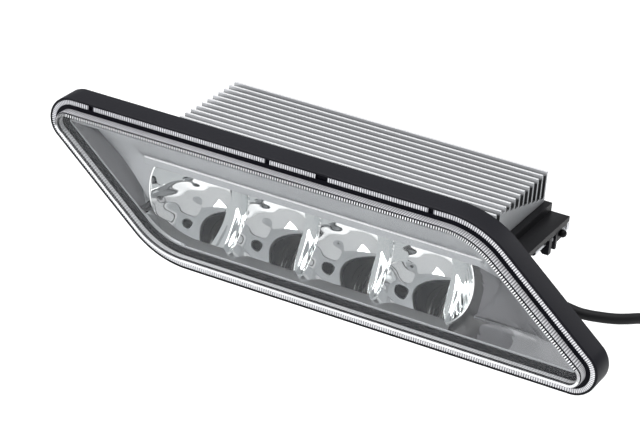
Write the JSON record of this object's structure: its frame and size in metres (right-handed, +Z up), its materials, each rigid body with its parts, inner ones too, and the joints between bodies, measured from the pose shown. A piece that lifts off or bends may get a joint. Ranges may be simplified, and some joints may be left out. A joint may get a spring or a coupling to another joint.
{
  "type": "fog light",
  "caption": "Slanted LED fog light with a clear fluted lens, half-bowl reflectors, finned heat sink, rear driver housing, side aim adjusters and a short cable with a plug.",
  "frame": {"origin": "centre of the front rim's rear seat plane, where the rim meets the bumper's aperture", "axes": "+X along the lamp towards the cable side, +Y back into the vehicle, +Z up; the lamp shines along -Y"},
  "size_m": [0.3837, 0.1348, 0.2603],
  "materials": {
    "satin_black": "moulded, satin",
    "gloss_black": "moulded, glossy",
    "clear_lens": "clear, polished, fluted edge wall",
    "silver_trim": "metallised satin silver",
    "mirror_coat": "vacuum-metallised mirror",
    "cast_aluminium": "bare, fine-grained",
    "steel": "zinc-plated",
    "rubber": "matt black",
    "pad_grey": "soft grey pad",
    "white_mask": "white solder mask",
    "brown_mask": "dark brown solder mask",
    "green_mask": "green solder mask",
    "phosphor": "yellow phosphor",
    "copper": "bare copper alloy",
    "chip_black": "moulded epoxy",
    "cap_sleeve": "dark blue sleeve",
    "seal_blue": "blue silicone"
  },
  "bodies": {
    "lamp": {"front_frame": "satin_black", "lens": "clear_lens", "lens_seal": "rubber", "inner_trim": "silver_trim", "visor": "silver_trim", "led_board": "brown_mask", "thermal_pad": "pad_grey", "heat_sink": "cast_aluminium", "heat_sink_seal": "rubber", "rear_housing": "gloss_black", "housing_seal": "rubber", "back_cover": "satin_black", "cover_seal": "rubber", "vent_cap": "rubber", "driver_board": "green_mask", "driver_coil": "copper", "driver_capacitor_1": "cap_sleeve", "driver_capacitor_2": "cap_sleeve", "driver_chip": "chip_black", "driver_connector": "white_mask", "cable_gland": "satin_black", "strain_relief": "rubber", "supply_cable": "rubber", "plug_seal": "seal_blue", "plug_body": "satin_black", "plug_pin_1": "copper", "plug_pin_2": "copper", "reflector_1": "mirror_coat", "led_1": "phosphor", "heat_sink_screw_1": "steel", "cover_boss_1": "satin_black", "cover_screw_1": "steel", "reflector_2": "mirror_coat", "led_2": "phosphor", "heat_sink_screw_2": "steel", "cover_boss_2": "satin_black", "cover_screw_2": "steel", "reflector_3": "mirror_coat", "led_3": "phosphor", "heat_sink_screw_3": "steel", "cover_boss_3": "satin_black", "cover_screw_3": "steel", "reflector_4": "mirror_coat", "led_4": "phosphor", "heat_sink_screw_4": "steel", "cover_boss_4": "satin_black", "cover_screw_4": "steel", "board_screw_1": "steel", "board_screw_2": "steel", "board_screw_3": "steel", "aim_bracket_right": "satin_black", "aim_bracket_left": "satin_black"},
    "aim_screw_right": {"aim_screw_right": "steel"},
    "aim_screw_left": {"aim_screw_left": "steel"},
    "aim_slider_right": {"aim_slider_right": "gloss_black"},
    "aim_slider_left": {"aim_slider_left": "gloss_black"}
  },
  "joints": [
    {"name": "aim_turn_right", "type": "hinge", "parent": "lamp", "child": "aim_screw_right", "pos_m": [0.1056, 0.085, -0.0062], "axis": [0, 1, 0], "range_deg": [-1080, 1080]},
    {"name": "aim_shift_right", "type": "slide", "parent": "lamp", "child": "aim_slider_right", "axis": [0, 1, 0], "range_m": [-0.00301, 0.00301]},
    {"name": "aim_turn_left", "type": "hinge", "parent": "lamp", "child": "aim_screw_left", "pos_m": [-0.1325, 0.085, -0.0062], "axis": [0, 1, 0], "range_deg": [-1080, 1080]},
    {"name": "aim_shift_left", "type": "slide", "parent": "lamp", "child": "aim_slider_left", "axis": [0, 1, 0], "range_m": [-0.00301, 0.00301]}
  ],
  "couplings": [
    {"joint": "aim_shift_right", "follows": "aim_turn_right", "m_per_rad": 0.00015915},
    {"joint": "aim_shift_left", "follows": "aim_turn_left", "m_per_rad": 0.00015915}
  ]
}
